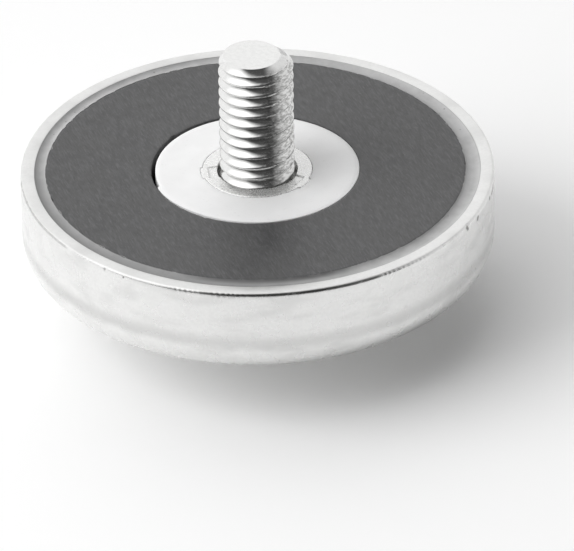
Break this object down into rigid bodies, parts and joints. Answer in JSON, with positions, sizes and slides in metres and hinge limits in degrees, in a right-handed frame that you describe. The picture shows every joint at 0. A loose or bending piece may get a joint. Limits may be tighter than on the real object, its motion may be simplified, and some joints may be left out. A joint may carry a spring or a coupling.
{
  "type": "pot magnet",
  "caption": "Flat round pot magnet: a ferrite ring potted in a drawn steel cup, held by a countersunk screw whose threaded end stands out of the holding face.",
  "frame": {"origin": "middle of the screw head's flat face, on which the part stands", "axes": "+Z along the screw from its head to its tip, out of the holding face; the magnet is a little off centre towards -X"},
  "size_m": [0.05, 0.05, 0.03],
  "materials": {
    "cup_plating": "bright zinc plate on drawn steel, satin",
    "ferrite": "ground dark grey ferrite",
    "potting": "cast grey epoxy",
    "nylon": "moulded natural nylon",
    "bush_plating": "bright zinc plate on turned steel",
    "screw_plating": "bright zinc plate on a rolled thread"
  },
  "bodies": {
    "root": {"steel_cup": "cup_plating", "ring_magnet": "ferrite", "potting_ring": "potting", "nylon_ring": "nylon", "flanged_bush": "bush_plating", "countersunk_screw": "screw_plating"}
  },
  "joints": []
}
